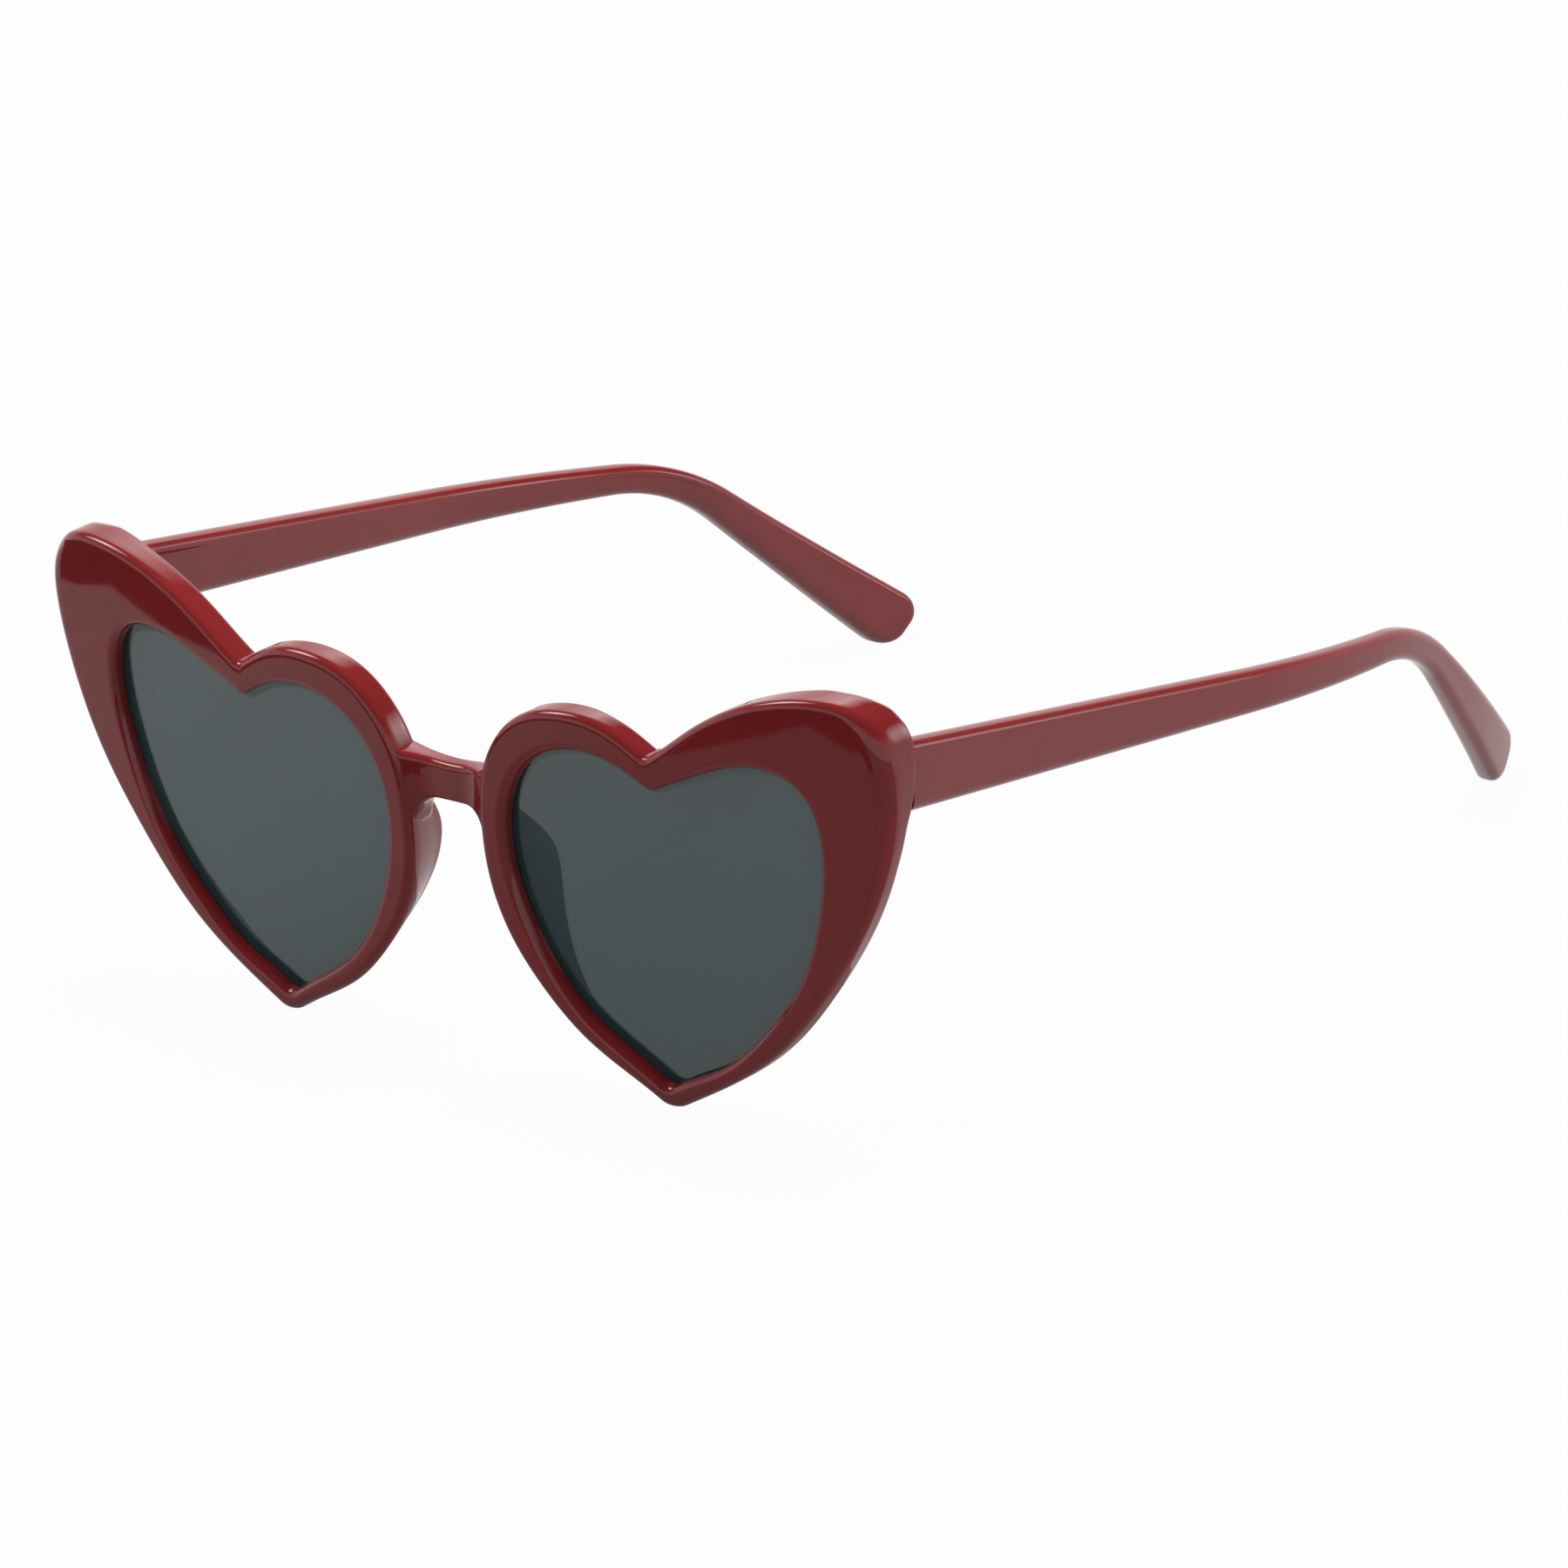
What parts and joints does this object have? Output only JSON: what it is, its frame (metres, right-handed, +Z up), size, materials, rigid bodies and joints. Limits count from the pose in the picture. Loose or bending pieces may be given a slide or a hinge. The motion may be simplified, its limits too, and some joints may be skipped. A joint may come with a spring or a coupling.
{
  "type": "heart shaped sunglasses",
  "caption": "Folding sunglasses with a moulded cat-eye heart front, dark tinted lenses and bent temples on metal screw hinges, for shading the eyes.",
  "frame": {"origin": "on the ground below the middle of the glasses' bounding box, as they stand open", "axes": "+X to the wearer's left, +Y from the front back along the temples, +Z up"},
  "size_m": [0.1484, 0.143, 0.0594],
  "materials": {
    "frame_plastic": "high gloss deep red moulded plastic",
    "lens_tint": "polished dark grey-green tinted plastic lens, slightly see-through",
    "hinge_metal": "tumbled nickel silver",
    "screw_metal": "bright plated steel"
  },
  "bodies": {
    "front": {"front_frame": "frame_plastic", "left_lens": "lens_tint", "right_lens": "lens_tint", "left_front_hinge_leaf": "hinge_metal", "right_front_hinge_leaf": "hinge_metal", "hinge_screws": "screw_metal"},
    "left_temple": {"left_temple": "frame_plastic", "left_temple_hinge_leaf": "hinge_metal"},
    "right_temple": {"right_temple": "frame_plastic", "right_temple_hinge_leaf": "hinge_metal"}
  },
  "joints": [
    {"name": "left_temple_fold", "type": "hinge", "parent": "front", "child": "left_temple", "pos_m": [0.0686, -0.06098, 0.04855], "axis": [0, 0, 1], "range_deg": [0, 85]},
    {"name": "right_temple_fold", "type": "hinge", "parent": "front", "child": "right_temple", "pos_m": [-0.0686, -0.06098, 0.04855], "axis": [0, 0, -1], "range_deg": [0, 78]}
  ]
}
